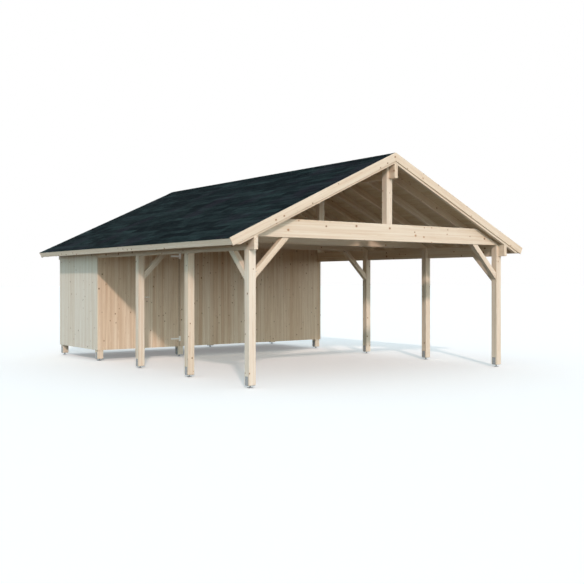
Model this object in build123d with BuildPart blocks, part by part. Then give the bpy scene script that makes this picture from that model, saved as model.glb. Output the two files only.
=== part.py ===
# Timber gable carport with a lock-up room across its back end.
# Millimetres. X runs across the gable, Y from the open front to the back, Z up.
# The origin is on the ground, under the middle of the roof.
from build123d import *
from math import cos, radians, sin, tan
import os

os.makedirs("parts", exist_ok=True)

# Post grid
post_side = 120
bay_length = 1800
bay_count = 4
post_spacing_across = 5400
foot_gap = 40

# Heights of the frame
plate_underside = 2020
tie_underside = 2220
tie_depth = 280
ridge_beam_underside = 3245
beam_thickness = 70

# Roof
roof_pitch = 25
apex_height = 3660
roof_half_width = 3180
gable_overhang = 155
board_thickness = 20
rake_depth = 125
shingle_top = 4
shingle_thickness = 6
roof_board_thickness = 24
rafter_depth = 125
rafter_width = 60
rafter_pitch = 592
inner_rafters = 12
fascia_depth = 100
fascia_bottom_level = 2085
shingle_overhang = 6
ridge_cap_reach = 125
ridge_cap_thickness = 5

# Braces
brace_side = 90
tie_brace_reach = 560
plate_brace_reach = 405

# Room at the back
wall_thickness = 20
wall_underside = 210
door_post_centres = (-1835, -920)
wall_post_centre = 900
rail_depth = 80
rail_thickness = 60
rail_levels = (270, 1190)

# Door
door_left = -1840
door_right = -970
door_top = 2200
door_gap = 8
door_setback = 5
ledge_levels = (400, 1200, 2000)
ledge_depth = 110
ledge_thickness = 25
ledge_end_gap = 10
hinge_levels = (371, 2083)
strap_length = 182
strap_thickness = 4
pin_radius = 5
pin_clearance = 0.2
knuckle_radius = 9
knuckle_height = 34
hinge_plate_width = 30
handle_level = 1245
handle_inset = 60
lever_length = 95
lever_radius = 12
lever_stand_off = 48
rose_radius = 26
rose_thickness = 8

# Worked out from the sizes above
half = post_side / 2
frame_half_width = post_spacing_across / 2 + half
post_inner_face = frame_half_width - post_side
plate_inner_face = frame_half_width - beam_thickness
tongue_width = post_side - beam_thickness
row_positions = [bay_length * (row - bay_count / 2) for row in range(bay_count + 1)]
frame_half_length = bay_length * bay_count / 2 + half
roof_half_length = frame_half_length + gable_overhang
rake_back_face = roof_half_length - board_thickness
room_front = row_positions[3] - half
room_back = frame_half_length
tie_top = tie_underside + tie_depth
pitch = radians(roof_pitch)
slope_length = roof_half_width / cos(pitch)
shingle_underside = shingle_top + shingle_thickness
roof_board_underside = shingle_underside + roof_board_thickness
rafter_underside = roof_board_underside + rafter_depth
door_front = room_front - wall_thickness - door_setback
door_back = door_front + wall_thickness
hinge_axis_x = door_right + door_gap / 2
hinge_axis_y = door_front - knuckle_radius


def slope_point(along, below):
    """A point of the right slope: down the slope from the apex, square below its top line."""
    x = along * cos(pitch) - below * sin(pitch)
    z = apex_height - along * sin(pitch) - below * cos(pitch)
    return (x, z)


def slope_height(x, below):
    """Height at a distance x from the ridge of a line that lies square below the top line."""
    return apex_height - below / cos(pitch) - abs(x) * tan(pitch)


def across(y):
    """The upright plane across the building at depth y, drawn in X and Z."""
    return Plane.XZ.offset(-y)


def finish(piece, label):
    piece.part.label = label
    export_step(piece.part, f"parts/{label}.step")


def add_bar(y, width, outline):
    """A bar with the given outline in X and Z, centred on depth y."""
    with BuildSketch(across(y)) as section:
        with BuildLine():
            Polyline(*outline, close=True)
        make_face()
    extrude(section.sketch, amount=width / 2, both=True)


def finish_mirrored(left_piece, label):
    with BuildPart() as right_piece:
        mirror(left_piece.part, about=Plane.YZ)
    finish(right_piece, label)


# Posts of the long sides, notched at the head so that the plate beam lies on the
# outer shoulder and an inner tongue reaches up to the tie beam
side_post_outline = [
    (-frame_half_width, foot_gap),
    (-post_inner_face, foot_gap),
    (-post_inner_face, tie_underside),
    (-plate_inner_face, tie_underside),
    (-plate_inner_face, plate_underside),
    (-frame_half_width, plate_underside),
]
with BuildPart() as posts_left:
    for row_y in row_positions:
        add_bar(row_y, post_side, side_post_outline)
finish(posts_left, "posts_left")
finish_mirrored(posts_left, "posts_right")

# Plain posts of the room: two beside the door, one in the front wall, two in the back wall
front_room_posts = [(x, row_positions[3]) for x in (*door_post_centres, wall_post_centre)]
back_room_posts = [(x, row_positions[4]) for x in (-wall_post_centre, wall_post_centre)]
room_post_spots = front_room_posts + back_room_posts
with BuildPart() as posts_room:
    with BuildSketch(Plane.XY.offset(foot_gap)):
        with Locations(*room_post_spots):
            Rectangle(post_side, post_side)
    extrude(amount=tie_underside - foot_gap)
finish(posts_room, "posts_room")

# Steel shoes: a foot plate, an adjusting stem and a U-shaped cradle under each post
shoe_steel = 5
shoe_width = 70
shoe_wing_height = 130
foot_plate_side = 70
foot_plate_thickness = 6
stem_radius = 12


def add_shoe(x, y):
    cradle_bottom = foot_gap - shoe_steel
    with BuildSketch(across(y)) as cradle:
        with Locations((x, cradle_bottom)):
            Rectangle(
                post_side + 2 * shoe_steel,
                shoe_wing_height + shoe_steel,
                align=(Align.CENTER, Align.MIN),
            )
        with Locations((x, foot_gap)):
            Rectangle(
                post_side,
                shoe_wing_height,
                align=(Align.CENTER, Align.MIN),
                mode=Mode.SUBTRACT,
            )
    extrude(cradle.sketch, amount=shoe_width / 2, both=True)
    with BuildSketch(Plane.XY) as foot_plate:
        with Locations((x, y)):
            Rectangle(foot_plate_side, foot_plate_side)
    extrude(foot_plate.sketch, amount=foot_plate_thickness)
    with BuildSketch(Plane.XY) as stem:
        with Locations((x, y)):
            Circle(stem_radius)
    extrude(stem.sketch, amount=cradle_bottom)


with BuildPart() as shoes_left:
    for row_y in row_positions:
        add_shoe(-post_spacing_across / 2, row_y)
finish(shoes_left, "shoes_left")
finish_mirrored(shoes_left, "shoes_right")

with BuildPart() as shoes_room:
    for post_x, post_y in room_post_spots:
        add_shoe(post_x, post_y)
finish(shoes_room, "shoes_room")

# Plate beams: along each side on the posts' outer shoulders, bevelled to the slope on top
with BuildPart() as plate_beam_left:
    add_bar(
        0,
        2 * rake_back_face,
        [
            (-frame_half_width, plate_underside),
            (-plate_inner_face, plate_underside),
            (-plate_inner_face, slope_height(plate_inner_face, rafter_underside)),
            (-frame_half_width, slope_height(frame_half_width, rafter_underside)),
        ],
    )
finish(plate_beam_left, "plate_beam_left")
finish_mirrored(plate_beam_left, "plate_beam_right")

# Ridge beam: lies on the king posts beside their tongues, bevelled to both slopes
ridge_beam_right = half
ridge_beam_left = ridge_beam_right - beam_thickness
ridge_beam_outline = [
    (ridge_beam_left, ridge_beam_underside),
    (ridge_beam_right, ridge_beam_underside),
    (ridge_beam_right, slope_height(ridge_beam_right, rafter_underside)),
    (0, slope_height(0, rafter_underside)),
    (ridge_beam_left, slope_height(ridge_beam_left, rafter_underside)),
]
with BuildPart() as ridge_beam:
    add_bar(0, 2 * rake_back_face, ridge_beam_outline)
finish(ridge_beam, "ridge_beam")

# Tie beams: between the plate beams on the posts' tongues, their ends cut to the slope
tie_top_half_length = (slope_height(0, rafter_underside) - tie_top) / tan(pitch)
tie_end_height = slope_height(plate_inner_face, rafter_underside)
tie_outline = [
    (-plate_inner_face, tie_underside),
    (plate_inner_face, tie_underside),
    (plate_inner_face, tie_end_height),
    (tie_top_half_length, tie_top),
    (-tie_top_half_length, tie_top),
    (-plate_inner_face, tie_end_height),
]
with BuildPart() as tie_beam_front:
    add_bar(row_positions[0], post_side, tie_outline)
finish(tie_beam_front, "tie_beam_front")

with BuildPart() as tie_beams_inner:
    for row_y in row_positions[1:3]:
        add_bar(row_y, post_side, tie_outline)
finish(tie_beams_inner, "tie_beams_inner")

with BuildPart() as tie_beams_room:
    for row_y in row_positions[3:]:
        add_bar(row_y, post_side, tie_outline)
finish(tie_beams_room, "tie_beams_room")

# King posts: stand on the tie beams, a tongue on the left beside the ridge beam
with BuildPart() as king_posts:
    for row_y in row_positions:
        add_bar(
            row_y,
            post_side,
            [
                (-half, tie_top),
                (half, tie_top),
                (half, ridge_beam_underside),
                (ridge_beam_left, ridge_beam_underside),
                (ridge_beam_left, slope_height(ridge_beam_left, rafter_underside)),
                (-half, slope_height(half, rafter_underside)),
            ],
        )
finish(king_posts, "king_posts")

# Braces at 45 degrees, cut upright against the post and level under the beam
brace_half_cut = brace_side / 2 / cos(radians(45))


def brace_outline(corner_a, corner_z, reach, direction):
    """Outline between an upright face at corner_a and a level face at corner_z."""
    lower = reach + brace_half_cut
    upper = reach - brace_half_cut
    return [
        (corner_a, corner_z - lower),
        (corner_a + direction * lower, corner_z),
        (corner_a + direction * upper, corner_z),
        (corner_a, corner_z - upper),
    ]


tie_brace_outline = brace_outline(-post_inner_face, tie_underside, tie_brace_reach, 1)
with BuildPart() as front_brace_left:
    add_bar(row_positions[0], brace_side, tie_brace_outline)
finish(front_brace_left, "front_brace_left")
finish_mirrored(front_brace_left, "front_brace_right")

with BuildPart() as inner_brace_left:
    add_bar(row_positions[2], brace_side, tie_brace_outline)
finish(inner_brace_left, "inner_brace_left")
finish_mirrored(inner_brace_left, "inner_brace_right")

front_post_back_face = row_positions[0] + half
plate_brace_outline = brace_outline(
    front_post_back_face, plate_underside, plate_brace_reach, 1
)
with BuildPart() as side_brace_left:
    with BuildSketch(Plane.YZ.offset(-post_spacing_across / 2)):
        with BuildLine():
            Polyline(*plate_brace_outline, close=True)
        make_face()
    extrude(amount=brace_side / 2, both=True)
finish(side_brace_left, "side_brace_left")
finish_mirrored(side_brace_left, "side_brace_right")

# Rafters: plumb at the ridge, their tails cut level over the fascia's foot
tail_along = slope_length - board_thickness
tail_top = slope_point(tail_along, roof_board_underside)
tail_below = (apex_height - tail_along * sin(pitch) - fascia_bottom_level) / cos(pitch)
tail_bottom = slope_point(tail_along, tail_below)
level_cut_start = (slope_height(0, rafter_underside) - fascia_bottom_level) / tan(pitch)
rafter_outline = [
    (0, slope_height(0, roof_board_underside)),
    (0, slope_height(0, rafter_underside)),
    (-level_cut_start, fascia_bottom_level),
    (-tail_bottom[0], tail_bottom[1]),
    (-tail_top[0], tail_top[1]),
]
end_rafter_y = rake_back_face - rafter_width / 2
inner_rafter_rows = [
    rafter_pitch * (number - (inner_rafters - 1) / 2) for number in range(inner_rafters)
]
rafter_rows = [-end_rafter_y, *inner_rafter_rows, end_rafter_y]
with BuildPart() as rafters_left:
    for rafter_y in rafter_rows:
        add_bar(rafter_y, rafter_width, rafter_outline)
finish(rafters_left, "rafters_left")
finish_mirrored(rafters_left, "rafters_right")


def sheet_outline(top, underside, reach):
    """Left-hand outline of a layer between two depths below the slope's top line."""
    outer_top = slope_point(reach, top)
    outer_underside = slope_point(reach, underside)
    return [
        (0, slope_height(0, top)),
        (0, slope_height(0, underside)),
        (-outer_underside[0], outer_underside[1]),
        (-outer_top[0], outer_top[1]),
    ]


# Roof boards on the rafters, and the shingle covering on the boards
with BuildPart() as roof_boards_left:
    add_bar(
        0,
        2 * rake_back_face,
        sheet_outline(shingle_underside, roof_board_underside, tail_along),
    )
finish(roof_boards_left, "roof_boards_left")
finish_mirrored(roof_boards_left, "roof_boards_right")

with BuildPart() as shingles_left:
    add_bar(
        0,
        2 * rake_back_face,
        sheet_outline(shingle_top, shingle_underside, slope_length + shingle_overhang),
    )
finish(shingles_left, "shingles_left")
finish_mirrored(shingles_left, "shingles_right")

cap_top = slope_point(ridge_cap_reach, shingle_top - ridge_cap_thickness)
cap_underside = slope_point(ridge_cap_reach, shingle_top)
with BuildPart() as ridge_cap:
    add_bar(
        0,
        2 * rake_back_face,
        [
            (0, slope_height(0, shingle_top - ridge_cap_thickness)),
            cap_top,
            cap_underside,
            (0, slope_height(0, shingle_top)),
            (-cap_underside[0], cap_underside[1]),
            (-cap_top[0], cap_top[1]),
        ],
    )
finish(ridge_cap, "ridge_cap")

# Fascia boards nailed square to the slope on the rafter tails
fascia_corners = [
    slope_point(tail_along, shingle_underside),
    slope_point(slope_length, shingle_underside),
    slope_point(slope_length, shingle_underside + fascia_depth),
    slope_point(tail_along, shingle_underside + fascia_depth),
]
with BuildPart() as fascia_left:
    add_bar(0, 2 * rake_back_face, [(-x, z) for x, z in fascia_corners])
finish(fascia_left, "fascia_left")
finish_mirrored(fascia_left, "fascia_right")

# Rake boards on the end rafters of both gables
rake_y = roof_half_length - board_thickness / 2
rake_outline = sheet_outline(0, rake_depth, slope_length)
for gable, gable_y in (("front", -rake_y), ("back", rake_y)):
    with BuildPart() as rake_left:
        add_bar(gable_y, board_thickness, rake_outline)
    finish(rake_left, f"rake_{gable}_left")
    finish_mirrored(rake_left, f"rake_{gable}_right")


# Walls of the room: upright boarding outside the posts, up to the roof boards
def gable_wall_face():
    """The whole gable wall in X and Z, notched round the plate beams and the ridge beam."""
    with BuildSketch() as face:
        with BuildLine():
            Polyline(
                (-frame_half_width, wall_underside),
                (frame_half_width, wall_underside),
                (frame_half_width, plate_underside),
                (plate_inner_face, plate_underside),
                (plate_inner_face, slope_height(plate_inner_face, roof_board_underside)),
                (0, slope_height(0, roof_board_underside)),
                (-plate_inner_face, slope_height(plate_inner_face, roof_board_underside)),
                (-plate_inner_face, plate_underside),
                (-frame_half_width, plate_underside),
                close=True,
            )
        make_face()
        with BuildLine():
            Polyline(*ridge_beam_outline, close=True)
        make_face(mode=Mode.SUBTRACT)
    return face.sketch


def add_gable_wall(y, left, right, bottom):
    """The stretch of a gable wall between two upright cuts, centred on depth y."""
    with BuildSketch(across(y)) as stretch:
        add(gable_wall_face())
        with Locations((left, bottom)):
            Rectangle(
                right - left,
                apex_height,
                align=(Align.MIN, Align.MIN),
                mode=Mode.INTERSECT,
            )
    extrude(stretch.sketch, amount=wall_thickness / 2, both=True)


front_wall_y = room_front - wall_thickness / 2
opening_left = door_left - door_gap
opening_right = door_right + door_gap
with BuildPart() as wall_front_left:
    add_gable_wall(front_wall_y, -frame_half_width, opening_left, wall_underside)
finish(wall_front_left, "wall_front_left")

with BuildPart() as wall_over_door:
    add_gable_wall(front_wall_y, opening_left, opening_right, door_top + door_gap)
finish(wall_over_door, "wall_over_door")

with BuildPart() as wall_front_right:
    add_gable_wall(front_wall_y, opening_right, frame_half_width, wall_underside)
finish(wall_front_right, "wall_front_right")

with BuildPart() as wall_back:
    add_gable_wall(
        room_back + wall_thickness / 2, -frame_half_width, frame_half_width, wall_underside
    )
finish(wall_back, "wall_back")

side_wall_outer_face = frame_half_width + wall_thickness
side_wall_length = room_back - room_front + 2 * wall_thickness
with BuildPart() as wall_left:
    add_bar(
        (room_front + room_back) / 2,
        side_wall_length,
        [
            (-side_wall_outer_face, wall_underside),
            (-frame_half_width, wall_underside),
            (-frame_half_width, slope_height(frame_half_width, rafter_underside)),
            (-side_wall_outer_face, slope_height(side_wall_outer_face, rafter_underside)),
        ],
    )
finish(wall_left, "wall_left")
finish_mirrored(wall_left, "wall_right")

# Rails between the room's posts, which the boarding is nailed to
room_depth_inside = bay_length - post_side
with BuildPart() as wall_rails:
    for level in rail_levels:
        for bay_left, bay_right in (
            (-post_inner_face, door_post_centres[0] - half),
            (door_post_centres[1] + half, wall_post_centre - half),
            (wall_post_centre + half, post_inner_face),
        ):
            with BuildSketch(Plane.XY.offset(level - rail_depth / 2)):
                with Locations((bay_left, room_front)):
                    Rectangle(bay_right - bay_left, rail_thickness, align=Align.MIN)
            extrude(amount=rail_depth)
        for bay_left, bay_right in (
            (-post_inner_face, -wall_post_centre - half),
            (-wall_post_centre + half, wall_post_centre - half),
            (wall_post_centre + half, post_inner_face),
        ):
            with BuildSketch(Plane.XY.offset(level - rail_depth / 2)):
                with Locations((bay_left, room_back)):
                    Rectangle(
                        bay_right - bay_left,
                        rail_thickness,
                        align=(Align.MIN, Align.MAX),
                    )
            extrude(amount=rail_depth)
        for side in (-1, 1):
            with BuildSketch(Plane.XY.offset(level - rail_depth / 2)):
                rail_x = side * (frame_half_width - rail_thickness / 2)
                with Locations((rail_x, row_positions[3] + bay_length / 2)):
                    Rectangle(rail_thickness, room_depth_inside)
            extrude(amount=rail_depth)
finish(wall_rails, "wall_rails")

# Door: a boarded leaf with ledges and diagonal braces on its inner side
with BuildPart() as door_leaf:
    with BuildSketch(across(door_back)):
        with Locations((door_left, wall_underside)):
            Rectangle(door_right - door_left, door_top - wall_underside, align=Align.MIN)
    extrude(amount=wall_thickness)
finish(door_leaf, "door_leaf")

ledge_left = door_post_centres[0] + half + ledge_end_gap
ledge_right = door_post_centres[1] - half - ledge_end_gap
with BuildPart() as door_ledges:
    with BuildSketch(across(door_back)):
        with Locations(*[((ledge_left + ledge_right) / 2, level) for level in ledge_levels]):
            Rectangle(ledge_right - ledge_left, ledge_depth)
    extrude(amount=-ledge_thickness)
finish(door_ledges, "door_ledges")

with BuildPart() as door_braces:
    for lower_level, upper_level in zip(ledge_levels, ledge_levels[1:]):
        foot_z = lower_level + ledge_depth / 2
        head_z = upper_level - ledge_depth / 2
        with BuildSketch(across(door_back)):
            with BuildLine():
                Polyline(
                    (ledge_right - ledge_depth, foot_z),
                    (ledge_right, foot_z),
                    (ledge_left + ledge_depth, head_z),
                    (ledge_left, head_z),
                    close=True,
                )
            make_face()
        extrude(amount=-ledge_thickness)
finish(door_braces, "door_braces")

# Strap hinges: a tapered strap with a rolled eye on the leaf, and a wall plate with the pin
strap_root = knuckle_height
strap_tip = 30
with BuildPart() as hinge_straps:
    for level in hinge_levels:
        with BuildSketch(across(door_front)):
            with BuildLine():
                Polyline(
                    (hinge_axis_x, level - strap_root / 2),
                    (hinge_axis_x, level + strap_root / 2),
                    (hinge_axis_x - strap_length, level + strap_tip / 2),
                    (hinge_axis_x - strap_length, level - strap_tip / 2),
                    close=True,
                )
            make_face()
            with Locations((hinge_axis_x - strap_length, level)):
                Circle(strap_tip / 2)
        extrude(amount=strap_thickness)
        with BuildSketch(Plane.XY.offset(level - knuckle_height / 2)):
            with Locations((hinge_axis_x, hinge_axis_y)):
                Circle(knuckle_radius)
        extrude(amount=knuckle_height)
        with BuildSketch(Plane.XY.offset(level - knuckle_height / 2)):
            with Locations((hinge_axis_x, hinge_axis_y)):
                Circle(pin_radius + pin_clearance)
        extrude(amount=knuckle_height, mode=Mode.SUBTRACT)
finish(hinge_straps, "hinge_straps")

knuckle_gap = 1
plate_height = 3 * knuckle_height + 2 * knuckle_gap
wall_face = room_front - wall_thickness
with BuildPart() as hinge_plates:
    for level in hinge_levels:
        with BuildSketch(Plane.XY.offset(level - plate_height / 2)):
            with Locations((hinge_axis_x, hinge_axis_y)):
                Circle(pin_radius)
        extrude(amount=plate_height)
        for knuckle_bottom in (
            level - plate_height / 2,
            level + plate_height / 2 - knuckle_height,
        ):
            with BuildSketch(Plane.XY.offset(knuckle_bottom)):
                with Locations((hinge_axis_x, hinge_axis_y)):
                    Circle(knuckle_radius)
                with Locations((hinge_axis_x, hinge_axis_y)):
                    Rectangle(
                        knuckle_radius + hinge_plate_width / 2,
                        wall_face - hinge_axis_y,
                        align=Align.MIN,
                    )
            extrude(amount=knuckle_height)
        with BuildSketch(Plane.XY.offset(level - plate_height / 2)):
            with Locations((hinge_axis_x + knuckle_radius, wall_face)):
                Rectangle(
                    hinge_plate_width,
                    door_setback,
                    align=(Align.MIN, Align.MAX),
                )
        extrude(amount=plate_height)
finish(hinge_plates, "hinge_plates")

# Lever handle: a round rose on the leaf and a bent round lever
handle_x = door_left + handle_inset
lever_y = door_front - rose_thickness - lever_stand_off
with BuildPart() as door_handle:
    with BuildSketch(across(door_front)):
        with Locations((handle_x, handle_level)):
            Circle(rose_radius)
    extrude(amount=rose_thickness)
    with BuildLine(Plane.XY.offset(handle_level)) as lever_path:
        FilletPolyline(
            (handle_x, door_front - rose_thickness / 2),
            (handle_x, lever_y),
            (handle_x + lever_length, lever_y),
            radius=2 * lever_radius,
        )
    with BuildSketch(Plane(lever_path.line @ 0, z_dir=lever_path.line % 0)):
        Circle(lever_radius)
    sweep(path=lever_path.line)
finish(door_handle, "door_handle")
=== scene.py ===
import math
import random

import bmesh
import bpy
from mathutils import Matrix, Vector


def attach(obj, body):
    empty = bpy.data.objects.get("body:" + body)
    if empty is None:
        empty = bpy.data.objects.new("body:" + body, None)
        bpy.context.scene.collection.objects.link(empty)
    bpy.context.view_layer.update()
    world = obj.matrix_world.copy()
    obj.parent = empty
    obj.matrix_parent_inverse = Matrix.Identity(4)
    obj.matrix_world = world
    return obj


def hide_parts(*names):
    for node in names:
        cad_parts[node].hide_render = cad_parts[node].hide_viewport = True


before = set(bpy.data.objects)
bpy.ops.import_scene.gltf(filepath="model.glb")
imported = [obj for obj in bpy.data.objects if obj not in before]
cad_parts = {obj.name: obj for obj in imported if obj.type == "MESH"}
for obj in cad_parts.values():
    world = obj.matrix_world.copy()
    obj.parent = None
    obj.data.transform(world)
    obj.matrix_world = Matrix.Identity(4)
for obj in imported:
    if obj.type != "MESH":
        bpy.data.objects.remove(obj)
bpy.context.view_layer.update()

# Posts of the two long sides. Planed spruce, 120 mm square, sawn to length and notched at the
# head, so that the plate beam lies on the outer shoulder and a tongue reaches the tie beam.
# The planer eases the long corners, and branches come out of the pith as knots.


def wire(tree, socket, value):
    if isinstance(value, bpy.types.NodeSocket):
        tree.links.new(value, socket)
    else:
        socket.default_value = value


def add_node(tree, kind, sockets, **settings):
    """A shader node with its settings, and with a value or a wire at each named socket."""
    made = tree.nodes.new(kind)
    for name, value in settings.items():
        setattr(made, name, value)
    for name, value in sockets.items():
        wire(tree, made.inputs[name], value)
    return made


def calc(tree, operation, *values):
    made = tree.nodes.new("ShaderNodeMath")
    made.operation = operation
    for socket, value in zip(made.inputs, values):
        wire(tree, socket, value)
    return made.outputs[0]


def vector_calc(tree, operation, *values):
    made = tree.nodes.new("ShaderNodeVectorMath")
    made.operation = operation
    for socket, value in zip(made.inputs, values):
        wire(tree, socket, value)
    return made.outputs["Value" if operation == "LENGTH" else "Vector"]


def mix_colours(tree, share, first, second, how="MIX"):
    made = tree.nodes.new("ShaderNodeMix")
    made.data_type = "RGBA"
    made.blend_type = how
    wire(tree, made.inputs[0], share)
    wire(tree, made.inputs[6], first)
    wire(tree, made.inputs[7], second)
    return made.outputs[2]


def ramp(tree, value, low, high, at_low=0.0, at_high=1.0):
    """Smooth step of a value between two limits."""
    made = add_node(
        tree,
        "ShaderNodeMapRange",
        {"Value": value, "From Min": low, "From Max": high, "To Min": at_low, "To Max": at_high},
        interpolation_type="SMOOTHSTEP",
    )
    return made.outputs["Result"]


def noise(tree, where, scale, detail=2.0):
    sockets = {"Vector": where, "Scale": scale, "Detail": detail}
    return add_node(tree, "ShaderNodeTexNoise", sockets).outputs["Fac"]


def clamped(tree, value):
    return add_node(tree, "ShaderNodeClamp", {"Value": value}).outputs[0]


def own_place(tree):
    """The place on the piece, in metres."""
    return add_node(tree, "ShaderNodeTexCoord", {}).outputs["Object"]


def effect_group(name, inputs, outputs):
    """An empty node group with named sockets, each a Vector, Float or Color."""
    tree = bpy.data.node_groups.new(name, "ShaderNodeTree")
    for way, sockets in (("INPUT", inputs), ("OUTPUT", outputs)):
        for label, kind in sockets.items():
            tree.interface.new_socket(name=label, in_out=way, socket_type="NodeSocket" + kind)
    return tree, tree.nodes.new("NodeGroupInput"), tree.nodes.new("NodeGroupOutput")


def use_group(tree, group, sockets):
    return add_node(tree, "ShaderNodeGroup", sockets, node_tree=group).outputs


finish_sockets = {"Color": "Color", "Roughness": "Float", "Height": "Float"}


def spruce_grain_group():
    """Spruce cut out of a log: growth rings round the pith, fibres along it, knots out of it.

    Grain is a place in the timber in metres: x along the log, y and z across from the pith.
    """
    tree, given, result = effect_group(
        "Spruce grain",
        {
            "Grain": "Vector",
            "Side": "Float",
            "Tint": "Float",
            "Pale": "Color",
            "Deep": "Color",
            "Warm": "Color",
            "Knot": "Color",
            "Pale Knot": "Color",
            "Knot Share": "Float",
            "Knot Radius": "Float",
            "Ring Width": "Float",
        },
        finish_sockets,
    )
    grain = given.outputs["Grain"]
    place = add_node(tree, "ShaderNodeSeparateXYZ", {"Vector": grain}).outputs
    across = add_node(tree, "ShaderNodeCombineXYZ", {"Y": place["Y"], "Z": place["Z"]})
    radius = vector_calc(tree, "LENGTH", across.outputs[0])

    # Branches: cells along the timber and across each of its sides, each with one branch of its
    # own thickness. On a side, y + z runs straight across it, so that a knot stays round.
    cell_length, cell_width = 0.19, 0.105
    side_shift = 1.37
    squeeze_along = 0.8
    knot_core, knot_edge = 0.8, 1.12
    halo_growth, halo_margin = 1.6, 0.012
    rim_width = 0.0022
    girth = calc(tree, "ADD", place["Y"], place["Z"])
    girth = calc(tree, "MULTIPLY_ADD", given.outputs["Side"], side_shift, girth)
    cells = add_node(
        tree,
        "ShaderNodeCombineXYZ",
        {
            "X": calc(tree, "DIVIDE", place["X"], cell_length),
            "Y": calc(tree, "DIVIDE", girth, cell_width),
        },
    ).outputs[0]
    branch = add_node(
        tree, "ShaderNodeTexVoronoi", {"Vector": cells, "Scale": 1.0}, voronoi_dimensions="2D"
    )
    luck = add_node(tree, "ShaderNodeSeparateColor", {"Color": branch.outputs["Color"]}).outputs
    off = add_node(
        tree,
        "ShaderNodeSeparateXYZ",
        {"Vector": vector_calc(tree, "SUBTRACT", cells, branch.outputs["Position"])},
    ).outputs
    from_branch = vector_calc(
        tree,
        "LENGTH",
        add_node(
            tree,
            "ShaderNodeCombineXYZ",
            {
                "X": calc(tree, "MULTIPLY", off["X"], cell_length * squeeze_along),
                "Y": calc(tree, "MULTIPLY", off["Y"], cell_width),
            },
        ).outputs[0],
    )
    present = calc(tree, "LESS_THAN", luck["Red"], given.outputs["Knot Share"])
    size = calc(tree, "MULTIPLY_ADD", calc(tree, "POWER", luck["Green"], 1.6), 0.62, 0.38)
    size = calc(tree, "MULTIPLY", size, given.outputs["Knot Radius"])

    def near_branch(distance, inside, outside):
        return calc(tree, "MULTIPLY", present, ramp(tree, distance, inside, outside, 1.0, 0.0))

    knot = near_branch(
        from_branch,
        calc(tree, "MULTIPLY", size, knot_core),
        calc(tree, "MULTIPLY", size, knot_edge),
    )
    halo_reach = calc(tree, "MULTIPLY_ADD", size, halo_growth, halo_margin)
    halo = near_branch(from_branch, size, halo_reach)
    from_rim = calc(tree, "ABSOLUTE", calc(tree, "SUBTRACT", from_branch, size))
    rim = near_branch(from_rim, 0.0, rim_width)

    # Rings bend round a branch and wander a little along the log
    wander_depth, branch_bend = 0.034, 0.007
    wander = noise(tree, vector_calc(tree, "MULTIPLY", grain, (1.3, 5.0, 5.0)), 1.0)
    bent = calc(tree, "MULTIPLY_ADD", wander, wander_depth, radius)
    bent = calc(tree, "MULTIPLY_ADD", halo, branch_bend, bent)
    count = calc(tree, "DIVIDE", bent, given.outputs["Ring Width"])
    late_wood = calc(tree, "POWER", calc(tree, "FRACT", count), 3.0)
    year = add_node(
        tree, "ShaderNodeTexWhiteNoise", {"W": calc(tree, "FLOOR", count)}, noise_dimensions="1D"
    ).outputs["Value"]
    late_wood = calc(tree, "MULTIPLY", late_wood, calc(tree, "MULTIPLY_ADD", year, 0.7, 0.3))
    fibre = noise(tree, vector_calc(tree, "MULTIPLY", grain, (7.0, 300.0, 300.0)), 1.0, 3.0)
    streak = noise(tree, vector_calc(tree, "MULTIPLY", grain, (0.8, 34.0, 34.0)), 1.0, 2.0)

    depth = calc(tree, "MULTIPLY_ADD", late_wood, 0.45, -0.5)
    depth = calc(tree, "MULTIPLY_ADD", streak, 1.3, depth)
    depth = calc(tree, "MULTIPLY_ADD", fibre, 0.35, depth)
    depth = calc(tree, "MULTIPLY_ADD", halo, 0.35, depth)
    depth = clamped(tree, depth)
    colour = mix_colours(tree, depth, given.outputs["Pale"], given.outputs["Deep"])
    toned = mix_colours(tree, given.outputs["Tint"], (1.07, 1.07, 1.07, 1.0), given.outputs["Warm"])
    colour = mix_colours(tree, 1.0, colour, toned, "MULTIPLY")
    heart = mix_colours(tree, luck["Blue"], given.outputs["Knot"], given.outputs["Pale Knot"])
    colour = mix_colours(tree, calc(tree, "MULTIPLY", knot, 0.9), colour, heart)
    colour = mix_colours(tree, calc(tree, "MULTIPLY", rim, 0.6), colour, given.outputs["Knot"])

    wire(tree, result.inputs["Color"], colour)
    rough = calc(tree, "MULTIPLY_ADD", fibre, 0.22, 0.52)
    wire(tree, result.inputs["Roughness"], calc(tree, "MULTIPLY_ADD", knot, -0.14, rough))
    high = calc(tree, "MULTIPLY_ADD", fibre, 0.5, calc(tree, "MULTIPLY", late_wood, 0.5))
    wire(tree, result.inputs["Height"], calc(tree, "MULTIPLY_ADD", knot, 0.5, high))
    return tree


def arris_wear_group():
    """Rubbed and slightly grey long corners, in patches, where a piece is carried and fixed."""
    tree, given, result = effect_group(
        "Arris wear",
        {
            "Color": "Color",
            "Eased": "Float",
            "Place": "Vector",
            "Worn": "Color",
            "Scale": "Float",
        },
        {"Color": "Color"},
    )
    patch = noise(tree, given.outputs["Place"], given.outputs["Scale"], 4.0)
    share = calc(tree, "MULTIPLY", ramp(tree, patch, 0.42, 0.62), given.outputs["Eased"])
    share = calc(tree, "MULTIPLY", share, 0.6)
    worn = mix_colours(tree, share, given.outputs["Color"], given.outputs["Worn"])
    wire(tree, result.inputs["Color"], worn)
    return tree


spruce_grain = spruce_grain_group()
arris_wear = arris_wear_group()


def read_attribute(tree, name, output="Fac"):
    return add_node(tree, "ShaderNodeAttribute", {}, attribute_name=name).outputs[output]


def new_material(name):
    material = bpy.data.materials.new(name)
    material.use_nodes = True
    return material, material.node_tree


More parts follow.
